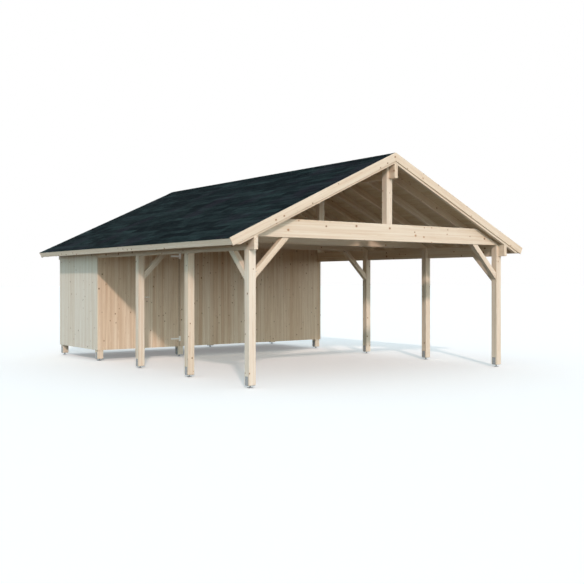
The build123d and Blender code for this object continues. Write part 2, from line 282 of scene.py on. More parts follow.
def lay_finish(tree, colour, rough, height, strength, depth):
    """Puts a finish on the material's shader, with its fine relief as bump."""
    shader = tree.nodes["Principled BSDF"]
    wire(tree, shader.inputs["Base Color"], colour)
    wire(tree, shader.inputs["Roughness"], rough)
    bump = add_node(
        tree, "ShaderNodeBump", {"Height": height, "Strength": strength, "Distance": depth}
    )
    wire(tree, shader.inputs["Normal"], bump.outputs["Normal"])
    return shader


def spruce(
    name, pale, deep, knot_share, knot_radius, ring_width,
    warm=(0.92, 0.83, 0.73), knot=(0.13, 0.055, 0.022), pale_knot=(0.50, 0.25, 0.12),
):
    """Planed, untreated spruce."""
    material, tree = new_material(name)
    grain = read_attribute(tree, "grain", "Vector")
    wood = use_group(tree, spruce_grain, {
        "Grain": grain,
        "Side": read_attribute(tree, "side"),
        "Tint": read_attribute(tree, "tint"),
        "Pale": (*pale, 1.0),
        "Deep": (*deep, 1.0),
        "Warm": (*warm, 1.0),
        "Knot": (*knot, 1.0),
        "Pale Knot": (*pale_knot, 1.0),
        "Knot Share": knot_share,
        "Knot Radius": knot_radius,
        "Ring Width": ring_width,
    })
    wear = use_group(tree, arris_wear, {
        "Color": wood["Color"],
        "Eased": read_attribute(tree, "eased"),
        "Place": grain,
        "Worn": (0.60, 0.50, 0.39, 1.0),
        "Scale": 9.0,
    })
    shader = lay_finish(
        tree, wear["Color"], wood["Roughness"], wood["Height"], strength=0.5, depth=0.0007
    )
    shader.inputs["Specular IOR Level"].default_value = 0.28
    return material


away = Vector((1.0, 1.3, 1.7))  # square to no timber, to choose between opposite ways


def separate_pieces(mesh):
    """The vertices of each piece of timber in a mesh that holds several, in order of place."""
    seen = set()
    found = []
    for first in mesh.verts:
        if first in seen:
            continue
        seen.add(first)
        waiting, piece = [first], []
        while waiting:
            corner = waiting.pop()
            piece.append(corner)
            for edge in corner.link_edges:
                other = edge.other_vert(corner)
                if other not in seen:
                    seen.add(other)
                    waiting.append(other)
        found.append(piece)
    return sorted(
        found,
        key=lambda piece: [
            round(sum(corner.co[axis] for corner in piece) / len(piece), 4) for axis in range(3)
        ],
    )


def edges_and_length(piece):
    """The edges of a piece of timber in a fixed order, and the way its length runs."""
    edges = list(dict.fromkeys(edge for corner in piece for edge in corner.link_edges))
    longest = max(edges, key=lambda edge: round(edge.calc_length(), 5))
    along = (longest.verts[1].co - longest.verts[0].co).normalized()
    return edges, along if along.dot(away) > 0 else -along


def clean_solid(node):
    """The CAD node's solid as an editable mesh with whole flat faces."""
    solid = bmesh.new()
    solid.from_mesh(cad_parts[node].data)
    bmesh.ops.remove_doubles(solid, verts=solid.verts, dist=1e-5)
    bmesh.ops.dissolve_limit(solid, angle_limit=0.01, verts=solid.verts, edges=solid.edges)
    return solid


def as_object(name, shape, material):
    """The finished mesh as an object of one material."""
    mesh = bpy.data.meshes.new(name)
    shape.to_mesh(mesh)
    shape.free()
    mesh.materials.append(material)
    made = bpy.data.objects.new(name, mesh)
    bpy.context.scene.collection.objects.link(made)
    return made


def plane_timber(name, solid, material, easing, seed, long_edges_only=False, steps=2):
    """Eases the corners of each piece in the mesh and gives each its own grain and tint."""
    flat_angle, in_line, on_side = 0.3, 0.98, 0.3
    board_thickness = 0.04
    luck = random.Random(seed)
    grain = solid.verts.layers.float_vector.new("grain")
    tint = solid.verts.layers.float.new("tint")
    eased = solid.faces.layers.float.new("eased")
    facing = solid.faces.layers.float.new("side")
    chosen = []
    for piece in separate_pieces(solid):
        edges, along = edges_and_length(piece)
        for edge in edges:
            if not edge.is_manifold or edge.calc_face_angle() < flat_angle:
                continue
            way = (edge.verts[1].co - edge.verts[0].co).normalized()
            if not long_edges_only or abs(way.dot(along)) > in_line:
                chosen.append(edge)
    made = bmesh.ops.bevel(
        solid,
        geom=chosen,
        offset=easing,
        offset_type="OFFSET",
        segments=steps,
        profile=0.5,
        affect="EDGES",
        clamp_overlap=True,
    )
    for face in made["faces"]:
        face[eased] = 1.0
        face.smooth = steps > 1
    for piece in separate_pieces(solid):
        along = edges_and_length(piece)[1]
        faces = dict.fromkeys(face for corner in piece for face in corner.link_faces)
        sides = [face for face in faces if abs(face.normal.dot(along)) < on_side]
        broad = max(
            sides,
            key=lambda face: (round(face.calc_area(), 5), round(face.normal.dot(away), 3)),
        ).normal
        broad = (broad - along * broad.dot(along)).normalized()
        third = along.cross(broad)
        reach = [[corner.co.dot(axis) for corner in piece] for axis in (along, broad, third)]
        middle = [(min(values) + max(values)) / 2 for values in reach]
        thick, wide = (max(values) - min(values) for values in reach[1:])
        shift = luck.uniform(0, 60)
        if thick < board_thickness:
            pith_out = luck.choice((-1, 1)) * luck.uniform(0.035, 0.085)
            pith_side = luck.uniform(-0.4, 0.4) * wide
        else:
            pith_out = luck.uniform(-0.3, 0.3) * thick
            pith_side = luck.uniform(-0.3, 0.3) * wide
        shade = min(1.0, max(0.0, luck.gauss(0.45, 0.26)))
        for corner in piece:
            corner[grain] = (
                corner.co.dot(along) - middle[0] + shift,
                corner.co.dot(broad) - middle[1] - pith_out,
                corner.co.dot(third) - middle[2] - pith_side,
            )
            corner[tint] = shade
        for face in faces:
            turned = [face.normal.dot(axis) for axis in (along, broad, third)]
            nearest = max(range(3), key=lambda number: abs(turned[number]))
            face[facing] = nearest + 3 * (turned[nearest] > 0)
    return as_object(name, solid, material)


post_spruce = spruce(
    "planed spruce post", pale=(0.88, 0.84, 0.77), deep=(0.70, 0.57, 0.44),
    knot_share=0.2, knot_radius=0.011, ring_width=0.0048,
)
for node, name, seed in (
    ("posts_left", "left_side_posts", 11),
    ("posts_right", "right_side_posts", 12),
    ("posts_room", "room_posts", 13),
):
    posts = plane_timber(name, clean_solid(node), post_spruce, easing=0.0035, seed=seed)
    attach(posts, "building")
    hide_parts(node)

# Post shoes. Hot-dip galvanised steel: a bent U-shaped cradle welded on a threaded stem with a
# small foot plate. The zinc freezes in large flat crystals. Coach screws go through the wings.


def zinc_crystals_group():
    """Flat zinc crystals, each with its own grey and shine, and dull white bloom in patches."""
    tree, given, result = effect_group(
        "Zinc crystals",
        {
            "Place": "Vector",
            "Bright": "Color",
            "Dull": "Color",
            "Crystal Size": "Float",
            "Shine": "Float",
        },
        finish_sockets,
    )
    spangle = add_node(
        tree,
        "ShaderNodeTexVoronoi",
        {
            "Vector": given.outputs["Place"],
            "Scale": calc(tree, "DIVIDE", 1.0, given.outputs["Crystal Size"]),
        },
    )
    pick = add_node(tree, "ShaderNodeSeparateColor", {"Color": spangle.outputs["Color"]}).outputs
    bloom = noise(tree, given.outputs["Place"], 23.0, 4.0)
    share = calc(tree, "MULTIPLY_ADD", pick["Red"], 0.55, ramp(tree, bloom, 0.5, 0.75, 0.0, 0.6))
    colour = mix_colours(
        tree, clamped(tree, share), given.outputs["Bright"], given.outputs["Dull"]
    )
    wire(tree, result.inputs["Color"], colour)
    rough = calc(tree, "SUBTRACT", 1.0, given.outputs["Shine"])
    wire(tree, result.inputs["Roughness"], calc(tree, "MULTIPLY_ADD", share, 0.16, rough))
    wire(tree, result.inputs["Height"], calc(tree, "MULTIPLY_ADD", pick["Green"], 0.4, bloom))
    return tree


zinc_crystals = zinc_crystals_group()


def zinc_coat(name, bright, dull, crystal_size, shine, metallic):
    material, tree = new_material(name)
    coat = use_group(tree, zinc_crystals, {
        "Place": own_place(tree),
        "Bright": (*bright, 1.0),
        "Dull": (*dull, 1.0),
        "Crystal Size": crystal_size,
        "Shine": shine,
    })
    shader = lay_finish(
        tree, coat["Color"], coat["Roughness"], coat["Height"], strength=0.3, depth=0.0003
    )
    shader.inputs["Metallic"].default_value = metallic
    return material


zinc = zinc_coat(
    "hot-dip zinc", bright=(0.42, 0.45, 0.47), dull=(0.24, 0.26, 0.275), crystal_size=0.009,
    shine=0.6, metallic=0.7,
)


def dress_node(node, material):
    """Puts a material on a CAD node whose shape is shown as it is."""
    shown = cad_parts[node]
    shown.data.materials.clear()
    shown.data.materials.append(material)


for node in ("shoes_left", "shoes_right", "shoes_room"):
    dress_node(node, zinc)


def add_head(mesh, middle, outward, radius, rise, sides):
    """One screw head: a low dome with a sunk drive in its middle."""
    turn = Vector(outward).to_track_quat("Z", "Y")
    profile = ((1.0, -0.3), (0.97, 0.45), (0.72, 1.0), (0.36, 0.92))  # shares of radius and rise
    rings = []
    for share, height in profile:
        ring = []
        for step in range(sides):
            angle = 2 * math.pi * step / sides
            spot = Vector((
                math.cos(angle) * radius * share, math.sin(angle) * radius * share, height * rise,
            ))
            ring.append(mesh.verts.new(Vector(middle) + turn @ spot))
        rings.append(ring)
    sunk = mesh.verts.new(Vector(middle) + turn @ Vector((0, 0, -0.1 * rise)))
    for lower, upper in zip(rings, rings[1:]):
        for step in range(sides):
            after = (step + 1) % sides
            face = mesh.faces.new((lower[step], lower[after], upper[after], upper[step]))
            face.smooth = sides > 6
    for step in range(sides):
        mesh.faces.new((rings[-1][step], rings[-1][(step + 1) % sides], sunk))


def fasteners(
    name, spots, radius, rise, sides, material, body="building"
):
    """Screw or nail heads in one mesh. Each spot is a place and the way the head faces."""
    heads = bmesh.new()
    for middle, outward in spots:
        add_head(heads, middle, outward, radius, rise, sides)
    made = as_object(name, heads, material)
    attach(made, body)


post_rows = [-3.6, -1.8, 0.0, 1.8, 3.6]
side_line = 2.7
wing_face = 0.065
shod_posts = [(side * side_line, y) for side in (-1, 1) for y in post_rows]
shod_posts += [(-1.835, 1.8), (-0.92, 1.8), (0.9, 1.8), (-0.9, 3.6), (0.9, 3.6)]
coach_screws = [
    ((post_x + side * wing_face, post_y + offset, height), (side, 0, 0))
    for post_x, post_y in shod_posts
    for side in (-1, 1)
    for offset, height in ((-0.016, 0.085), (0.016, 0.135))
]
fasteners("shoe_coach_screws", coach_screws, radius=0.0085, rise=0.0055, sides=6, material=zinc)

# Beams. Long planed spruce sections: a plate beam along each side, a tie beam across every
# row of posts, and the ridge beam beside the king posts' tongues. Their tops are bevelled to
# the roof. Cut from larger logs, so they show wider rings and more knots than the posts.
beam_spruce = spruce(
    "planed spruce beam", pale=(0.88, 0.84, 0.76), deep=(0.67, 0.53, 0.39),
    knot_share=0.26, knot_radius=0.0165, ring_width=0.0056, knot=(0.20, 0.09, 0.04),
)
for node, name, seed in (
    ("plate_beam_left", "left_plate_beam", 21),
    ("plate_beam_right", "right_plate_beam", 22),
    ("tie_beam_front", "front_tie_beam", 26),
    ("tie_beams_inner", "inner_tie_beams", 24),
    ("tie_beams_room", "room_tie_beams", 25),
    ("ridge_beam", "ridge_beam_timber", 23),
):
    beam = plane_timber(name, clean_solid(node), beam_spruce, easing=0.0035, seed=seed)
    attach(beam, "building")
    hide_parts(node)

# King posts. Short posts standing on the tie beams, with a tongue on the left that the ridge
# beam lies against. The same planed stock as the long posts.
kings = plane_timber(
    "king_post_timbers", clean_solid("king_posts"), post_spruce, easing=0.0035, seed=31
)
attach(kings, "building")
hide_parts("king_posts")

# Braces. Square spruce struts at 45 degrees, cut upright against the post and level under the
# beam, each held by two long countersunk screws at either end.
brace_spruce = spruce(
    "planed spruce brace", pale=(0.88, 0.84, 0.77), deep=(0.70, 0.57, 0.44),
    knot_share=0.22, knot_radius=0.011, ring_width=0.0044,
)
for node, name, seed in (
    ("front_brace_left", "front_left_brace", 41),
    ("front_brace_right", "front_right_brace", 42),
    ("inner_brace_left", "inner_left_brace", 43),
    ("inner_brace_right", "inner_right_brace", 44),
    ("side_brace_left", "left_side_brace", 45),
    ("side_brace_right", "right_side_brace", 46),
):
    brace = plane_timber(name, clean_solid(node), brace_spruce, easing=0.003, seed=seed)
    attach(brace, "building")
    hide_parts(node)


def end_screws(post_face, beam_face, reach):
    """Two screws near each end of a brace, as distances along the beam and heights."""
    from_end, apart, half_diagonal, diagonal = 0.042, 0.022, 0.7071, 1.414
    places = []
    for inset in (from_end, diagonal * reach - from_end):
        for aside in (-apart, apart):
            along = (inset + aside) * half_diagonal
            up = (inset - aside) * half_diagonal
            places.append((post_face + along, beam_face - reach + up))
    return places


brace_half = 0.045
post_inner_face, post_back_face = -2.64, -3.54
tie_underside, plate_underside = 2.22, 2.02
tie_brace_reach, plate_brace_reach = 0.56, 0.405
brace_screws = []
for side in (-1, 1):
    for row in (post_rows[0], post_rows[2]):
        for along, height in end_screws(post_inner_face, tie_underside, tie_brace_reach):
            brace_screws.append(((side * along, row - brace_half, height), (0, -1, 0)))
    for along, height in end_screws(post_back_face, plate_underside, plate_brace_reach):
        brace_screws.append(((side * (side_line + brace_half), along, height), (side, 0, 0)))
fasteners("brace_screws", brace_screws, radius=0.0055, rise=0.0006, sides=10, material=zinc)

# Rafters. Planed spruce, 60 by 125 mm, plumb cut at the ridge and level cut at the tails so
# that the fascia board's foot is in line. The end pairs lie behind the rake boards.
rafter_spruce = spruce(
    "planed spruce rafter", pale=(0.84, 0.78, 0.68), deep=(0.65, 0.51, 0.38),
    knot_share=0.13, knot_radius=0.012, ring_width=0.005, knot=(0.26, 0.13, 0.06),
)
for node, name, seed in (
    ("rafters_left", "left_rafter_timbers", 51),
    ("rafters_right", "right_rafter_timbers", 52),
):
    rafters = plane_timber(
        name, clean_solid(node), rafter_spruce, easing=0.0025, seed=seed, steps=1
    )
    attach(rafters, "building")
    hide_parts(node)

# Roof boards. Tongued and grooved spruce boards, 88 mm face, nailed across the rafters from
# eaves to ridge. Seen from below, with a V joint between each two boards.
roof_board_spruce = spruce(
    "roof board spruce", pale=(0.82, 0.74, 0.59), deep=(0.64, 0.51, 0.35),
    knot_share=0.1, knot_radius=0.010, ring_width=0.0042, warm=(0.97, 0.92, 0.84),
    knot=(0.26, 0.13, 0.06),
)


def saw_into_boards(node, across, cuts):
    """The CAD node's solid sawn by planes square to across, one closed board between cuts."""
    boards = bmesh.new()
    whole = clean_solid(node)
    part = bpy.data.meshes.new("sawn board")
    for low, high in zip(cuts, cuts[1:]):
        board = whole.copy()
        for level, outward in ((low, -1), (high, 1)):
            cut = bmesh.ops.bisect_plane(
                board,
                geom=[*board.verts, *board.edges, *board.faces],
                dist=1e-6,
                plane_co=across * level,
                plane_no=across * outward,
                clear_outer=True,
            )["geom_cut"]
            rims = [item for item in cut if isinstance(item, bmesh.types.BMEdge)]
            if rims:
                bmesh.ops.holes_fill(board, edges=rims, sides=0)
        if board.faces:
            board.to_mesh(part)
            boards.from_mesh(part)
        board.free()
    whole.free()
    bpy.data.meshes.remove(part)
    bmesh.ops.recalc_face_normals(boards, faces=boards.faces)
    return boards


roof_angle = math.radians(25)
apex_height = 3.66
board_face = 0.088
eaves_reach = 3.18
slope_length = eaves_reach / math.cos(roof_angle)
behind_fascia = 0.02
for side, node, name, seed in (
    (-1, "roof_boards_left", "left_roof_boarding", 61),
    (1, "roof_boards_right", "right_roof_boarding", 62),
):
    down_slope = Vector((side * math.cos(roof_angle), 0, -math.sin(roof_angle)))
    eaves = Vector((0, 0, apex_height)).dot(down_slope) + slope_length - behind_fascia
    top = eaves - slope_length - behind_fascia
    levels = [eaves]
    while levels[-1] > top:
        levels.append(levels[-1] - board_face)
    boarding = plane_timber(
        name, saw_into_boards(node, down_slope, levels[::-1]), roof_board_spruce, easing=0.0015,
        seed=seed, long_edges_only=True, steps=1,
    )
    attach(boarding, "building")
    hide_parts(node)

# Shingles. Bitumen felt with slate grit, in strips of three tabs with open slots, laid from
# the eaves up in half-tab steps, each course 145 mm to the weather. Strips differ a little in
# their blue-black grit, and the tabs' lower edges cast a thin shadow.


def slate_grit_group():
    """Coarse mineral granules, mostly blue-black, with strips and patches of other tones."""
    tree, given, result = effect_group(
        "Slate grit",
        {
            "Place": "Vector",
            "Tint": "Float",
            "Dark": "Color",
            "Light": "Color",
            "Violet": "Color",
        },
        finish_sockets,
    )
    place = given.outputs["Place"]
    granule = add_node(tree, "ShaderNodeTexVoronoi", {"Vector": place, "Scale": 520.0})
    pick = add_node(tree, "ShaderNodeSeparateColor", {"Color": granule.outputs["Color"]}).outputs
    streak = noise(tree, vector_calc(tree, "MULTIPLY", place, (3.0, 1.0, 3.0)), 4.2, 4.0)
    drift = noise(tree, place, 1.1, 3.0)
    share = calc(tree, "MULTIPLY_ADD", given.outputs["Tint"], 0.7, -0.48)
    share = calc(tree, "MULTIPLY_ADD", streak, 0.95, share)
    share = calc(tree, "MULTIPLY_ADD", calc(tree, "SUBTRACT", pick["Red"], 0.5), 0.5, share)
    share = clamped(tree, share)
    colour = mix_colours(tree, share, given.outputs["Dark"], given.outputs["Light"])
    plum = calc(tree, "MULTIPLY", ramp(tree, drift, 0.52, 0.68), 0.5)
    colour = mix_colours(tree, plum, colour, given.outputs["Violet"])
    wire(tree, result.inputs["Color"], colour)
    wire(tree, result.inputs["Roughness"], calc(tree, "MULTIPLY_ADD", pick["Green"], 0.16, 0.8))
    sunk = calc(tree, "MULTIPLY", granule.outputs["Distance"], 1.3)
    wire(tree, result.inputs["Height"], calc(tree, "SUBTRACT", 1.0, sunk))
    return tree


slate_grit = slate_grit_group()


def grit_coat(name, dark, light, violet):
    material, tree = new_material(name)
    grit = use_group(tree, slate_grit, {
        "Place": own_place(tree),
        "Tint": read_attribute(tree, "tint"),
        "Dark": (*dark, 1.0),
        "Light": (*light, 1.0),
        "Violet": (*violet, 1.0),
    })
    shader = lay_finish(
        tree, grit["Color"], grit["Roughness"], grit["Height"], strength=0.6, depth=0.0008
    )
    shader.inputs["Specular IOR Level"].default_value = 0.01
    return material


shingle_grit = grit_coat(
    "slate grit on bitumen", dark=(0.0042, 0.0085, 0.0112), light=(0.029, 0.052, 0.054),
    violet=(0.022, 0.0205, 0.031),
)
front_verge, back_verge = -3.795, 3.8125
course = 0.145
tab_width = 1.0 / 3
slot_width = 0.007
over_fascia = 0.006
tab_depth, tab_edge_depth, tab_thickness = 0.0067, 0.004, 0.003
backing_lap, backing_depths, backing_thickness = 0.02, (0.0074, 0.0070), 0.0024


def on_slope(side, along, below, y):
    """A point of a slope: metres down from the apex, and metres square below its top line."""
    return Vector((
        side * (along * math.cos(roof_angle) - below * math.sin(roof_angle)),
        y,
        apex_height - along * math.sin(roof_angle) - below * math.cos(roof_angle),
    ))


def add_slab(mesh, side, upper, lower, start, stop, tops, thickness, tint, shade):
    """A thin flat piece on a slope. tops are its depths below the top line, upper and lower."""
    corners = []
    for lift in (0.0, thickness):
        corners.append([
            mesh.verts.new(on_slope(side, upper, tops[0] + lift, start)),
            mesh.verts.new(on_slope(side, upper, tops[0] + lift, stop)),
            mesh.verts.new(on_slope(side, lower, tops[1] + lift, stop)),
            mesh.verts.new(on_slope(side, lower, tops[1] + lift, start)),
        ])
    for corner in (*corners[0], *corners[1]):
        corner[tint] = shade
    top, bottom = corners
    mesh.faces.new(top)
    mesh.faces.new(bottom[::-1])
    for step in range(4):
        after = (step + 1) % 4
        mesh.faces.new((top[after], top[step], bottom[step], bottom[after]))


for side, node, name, seed in (
    (-1, "shingles_left", "left_shingle_courses", 71),
    (1, "shingles_right", "right_shingle_courses", 72),
):
    luck = random.Random(seed)
    strips = bmesh.new()
    tint = strips.verts.layers.float.new("tint")
    lower = slope_length + over_fascia
    number = 0
    while lower > 0.03:
        upper = max(0.0, lower - course)
        backing_top = max(0.0, upper - course - backing_lap)
        strip_tints = {}
        start = front_verge - (number % 2) * tab_width / 2 - luck.uniform(0.0, 0.02)
        position = 0
        while start < back_verge:
            stop = start + tab_width
            strip = (position + number * 2) // 3
            if strip not in strip_tints:
                strip_tints[strip] = luck.betavariate(1.6, 2.4)
            shade = strip_tints[strip] + luck.uniform(-0.22, 0.22)
            left = max(start + slot_width / 2, front_verge)
            right = min(stop - slot_width / 2, back_verge)
            if right - left > 0.01:
                edge = lower + luck.uniform(-0.0025, 0.0)
                edge_depth = tab_edge_depth + luck.uniform(0.0, 0.0006)
                add_slab(
                    strips, side, upper, edge, left, right, (tab_depth, edge_depth),
                    tab_thickness, tint, shade,
                )
            start = stop
            position += 1
        if upper > 0.0:
            add_slab(
                strips, side, backing_top, upper, front_verge, back_verge, backing_depths,
                backing_thickness, tint, 0.3,
            )
        lower -= course
        number += 1
    add_slab(
        strips, side, slope_length - 0.15, slope_length + 0.004, front_verge, back_verge,
        (0.0075, 0.0070), 0.0028, tint, 0.2,
    )
    bmesh.ops.recalc_face_normals(strips, faces=strips.faces)
    courses = as_object(name, strips, shingle_grit)
    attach(courses, "building")
    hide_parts(node)

# Ridge caps. Single tabs cut from the same shingles, folded over the ridge and laid from the
# front gable to the back, each lapping the one before so that 146 mm of it shows.
luck = random.Random(81)
caps = bmesh.new()
tint = caps.verts.layers.float.new("tint")
cap_reach, cap_lap, cap_thickness = 0.125, 0.04, 0.0026
cap_count = 52
cap_step = (back_verge - front_verge) / cap_count
for number in range(cap_count):
    front = front_verge + number * cap_step
    back = min(front + cap_step + cap_lap, back_verge)
    shade = luck.betavariate(1.6, 2.4)
    wobble = luck.uniform(-0.003, 0.0)
    rings = []
    for y, drop in ((front, 0.0), (back, 0.0022)):
        outline = []
        for lift in (0.0, cap_thickness):
            row = [
                on_slope(side, along, -0.0009 + drop + lift, y)
                for side, along in (
                    (-1, cap_reach + wobble), (-1, 0.03), (-1, 0.006), (1, 0.006), (1, 0.03),
                    (1, cap_reach + wobble),
                )
            ]
            outline.extend(row if lift == 0.0 else row[::-1])
        rings.append([caps.verts.new(spot) for spot in outline])
    for ring in rings:
        for corner in ring:
            corner[tint] = shade
    last = len(rings[0]) - 1
    for step in range(last + 1):
        after = (step + 1) % (last + 1)
        caps.faces.new((rings[0][step], rings[0][after], rings[1][after], rings[1][step]))
    for ring in rings:
        for step in range(last // 2):
            caps.faces.new((ring[step], ring[step + 1], ring[last - 1 - step], ring[last - step]))
bmesh.ops.recalc_face_normals(caps, faces=caps.faces)
ridge_caps = as_object("ridge_cap_shingles", caps, shingle_grit)
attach(ridge_caps, "building")
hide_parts("ridge_cap")

# Fascia and rake boards. Planed spruce boards, 20 mm thick: the fascias are nailed square to
# the slope on the rafter tails, the rakes on the end rafters, mitred at the ridge. Their top
# edges close off the shingles.
trim_spruce = spruce(
    "planed spruce trim board", pale=(0.88, 0.84, 0.76), deep=(0.70, 0.57, 0.44),
    knot_share=0.3, knot_radius=0.013, ring_width=0.004,
)
solid_face, gable_face = 3.815, 3.8144  # the rakes end a hair inside the solids
rake_drop = 0.0115  # the back rakes' top edges lie under the shingles that run over them
for node, name, seed in (
    ("fascia_left", "left_fascia_board", 91),
    ("fascia_right", "right_fascia_board", 92),
    ("rake_front_left", "front_left_rake_board", 93),
    ("rake_front_right", "front_right_rake_board", 94),
    ("rake_back_left", "back_left_rake_board", 95),
    ("rake_back_right", "back_right_rake_board", 96),
):
    solid = clean_solid(node)
    for corner in solid.verts:
        if node.startswith("rake") and abs(corner.co.y) > 3.8:
            corner.co.y *= gable_face / solid_face
        below_top = (apex_height - corner.co.z) * math.cos(roof_angle)
        below_top -= abs(corner.co.x) * math.sin(roof_angle)
        if node.startswith("rake_back") and below_top < 0.001:
            corner.co.z -= rake_drop / math.cos(roof_angle)
    trim = plane_timber(name, solid, trim_spruce, easing=0.0025, seed=seed)
    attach(trim, "building")
    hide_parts(node)
rafter_spacing = 0.592
rafter_lines = [(number - 5.5) * rafter_spacing for number in range(12)] + [-3.765, 3.765]
trim_nails = []
for side in (-1, 1):
    outward = Vector((side * math.cos(roof_angle), 0, -math.sin(roof_angle)))
    for line in rafter_lines:
        for below in (0.032, 0.088):
            trim_nails.append((on_slope(side, slope_length, below, line), outward))
for side in (-1, 1):
    for gable in (-1, 1):
        for step in range(7):
            for below in (0.048, 0.105):
                spot = on_slope(side, 0.12 + step * 0.535, below, gable * gable_face)
                trim_nails.append((spot, (0, gable, 0)))
fasteners("trim_board_nails", trim_nails, radius=0.0038, rise=0.0005, sides=8, material=zinc)

# Room walls. Upright tongued and grooved spruce boards, 88 mm face, nailed on rails and posts
# from outside, up to the roof boards on the gables and over the plate beams on the sides.
# A V joint shows between each two boards, and each board has its own tone.
wall_spruce = spruce(
    "wall board spruce", pale=(0.88, 0.79, 0.67), deep=(0.60, 0.44, 0.30),
    knot_share=0.24, knot_radius=0.0105, ring_width=0.0038, warm=(0.90, 0.79, 0.69),
    knot=(0.09, 0.04, 0.02), pale_knot=(0.30, 0.14, 0.07),
)
# The side walls take a paler, cooler copy of the wall board colours: painted cool light from the
# side, the same on both side walls.
side_wall_cool_light_spruce = spruce(
    "side wall spruce with painted cool light", pale=(0.84, 0.82, 0.76), deep=(0.66, 0.58, 0.49),
    knot_share=0.22, knot_radius=0.011, ring_width=0.0038, warm=(0.99, 0.95, 0.90),
    knot=(0.07, 0.03, 0.014), pale_knot=(0.30, 0.15, 0.07),
)
across_gable = Vector((1, 0, 0))
across_side = Vector((0, 1, 0))
wall_edge, corner_board_edge = 2.76, 2.69
door_gap_left, door_gap_right = -1.848, -0.962
narrowest = 0.02
middle_board = (-0.01, 0.06)  # ripped to width, between the boards laid from either side
gable_cuts = [-corner_board_edge + board_face * step for step in range(62)]
gable_cuts = [-wall_edge, *(level for level in gable_cuts if level < wall_edge), wall_edge]
gable_cuts = sorted({round(level, 4) for level in gable_cuts})
for node, name, seed, left, right in (
    ("wall_front_left", "front_wall_boards_left", 101, -wall_edge, door_gap_left),
    ("wall_over_door", "wall_boards_over_door", 102, door_gap_left, door_gap_right),
    ("wall_front_right", "front_wall_boards_right", 103, door_gap_right, wall_edge),
    ("wall_back", "back_wall_boards", 104, -wall_edge, wall_edge),
):
    inner = [level for level in gable_cuts if left + narrowest < level < right - narrowest]
    if right == wall_edge:
        inner = [level for level in inner if not -0.02 < level < 0.07 and level < 2.66]
        inner += [*middle_board, corner_board_edge]
    boards = plane_timber(
        name, saw_into_boards(node, across_gable, [left, *sorted(inner), right]), wall_spruce,
        easing=0.0024, seed=seed, long_edges_only=True, steps=1,
    )
    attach(boards, "building")
    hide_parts(node)
front_face, back_face = 1.72, 3.68
side_cuts = [*[front_face + board_face * step for step in range(22)], back_face]
for node, name, seed in (
    ("wall_left", "left_wall_boards", 105),
    ("wall_right", "right_wall_boards", 106),
):
    boards = plane_timber(
        name, saw_into_boards(node, across_side, side_cuts), side_wall_cool_light_spruce, easing=0.0022,
        seed=seed, long_edges_only=True, steps=1,
    )
    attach(boards, "building")
    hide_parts(node)

# Beside the door the boards' end faces in the narrow gaps get a very dark colour: painted shade in
# the gap between the leaf and the wall.
gap_shade_spruce = spruce(
    "painted shade in door gap", pale=(0.17, 0.12, 0.08), deep=(0.08, 0.05, 0.03),
    knot_share=0.1, knot_radius=0.009, ring_width=0.0038,
)


def paint_gap_shade(boards, outward, level):
    """Gives the faces of a boarded piece at a level, and their eased corners, the painted shade of
    the door gap.
    """
    boards.data.materials.append(gap_shade_spruce)
    for face in boards.data.polygons:
        if face.normal.dot(outward) > 0.6 and abs(face.center.dot(outward) - level) < 0.002:
            face.material_index = 1


# The wall boards' edges at the door gap get the painted shade.
paint_gap_shade(bpy.data.objects["front_wall_boards_right"], -across_gable, -door_gap_right)
paint_gap_shade(bpy.data.objects["front_wall_boards_left"], across_gable, door_gap_left)
half_board, side_face, door_head = board_face / 2, 2.78, 2.2
wall_nails = []
for level in gable_cuts[:-1]:
    middle = level + half_board
    if abs(middle) > 2.62:
        continue
    for height in (0.27, 1.19, 2.30):
        if not door_gap_left < middle < door_gap_right or height > door_head:
            wall_nails.append(((middle, front_face, height), (0, -1, 0)))
        wall_nails.append(((middle, back_face, height), (0, 1, 0)))
for level in side_cuts[:-1]:
    for side in (-1, 1):
        for height in (0.27, 1.19, 2.10):
            wall_nails.append(((side * side_face, level + half_board, height), (side, 0, 0)))
fasteners("wall_board_nails", wall_nails, radius=0.0032, rise=0.0005, sides=6, material=zinc)

# Wall rails. Planed spruce battens between the room's posts, flush with their outer faces, at
# two heights. The boarding is nailed to them. They show only from inside the room.
rail_spruce = spruce(
    "planed spruce rail", pale=(0.85, 0.78, 0.68), deep=(0.66, 0.52, 0.39),
    knot_share=0.24, knot_radius=0.013, ring_width=0.0045,
)
rails = plane_timber(
    "room_wall_rails", clean_solid("wall_rails"), rail_spruce, easing=0.0025, seed=111
)
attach(rails, "building")
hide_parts("wall_rails")

# Door leaf. The same boards as the wall, nailed on three ledges with a diagonal brace between
# each two, so that the leaf hangs from its lower hinge corner without sagging.
leaf_left, leaf_right = -1.84, -0.97
leaf_cuts = [*[leaf_left + board_face * step for step in range(10)], leaf_right]
leaf = plane_timber(
    "door_boards", saw_into_boards("door_leaf", across_gable, leaf_cuts), wall_spruce,
    easing=0.0024, seed=121, long_edges_only=True, steps=1,
)
# The leaf's edges at the gaps get the same painted shade.
paint_gap_shade(leaf, across_gable, leaf_right)
paint_gap_shade(leaf, -across_gable, -leaf_left)
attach(leaf, "door")
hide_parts("door_leaf")
for node, name, seed in (
    ("door_ledges", "door_ledge_boards", 122),
    ("door_braces", "door_brace_boards", 123),
):
    batten = plane_timber(name, clean_solid(node), rail_spruce, easing=0.0025, seed=seed)
    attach(batten, "door")
    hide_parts(node)
leaf_face = 1.715
leaf_nails = [
    ((level + half_board, leaf_face, height), (0, -1, 0))
    for level in leaf_cuts[:-1]
    for height in (0.365, 0.435, 1.165, 1.235, 1.965, 2.035)
]
fasteners(
    "door_board_nails", leaf_nails, radius=0.0038, rise=0.0005, sides=6, material=zinc, body="door"
)

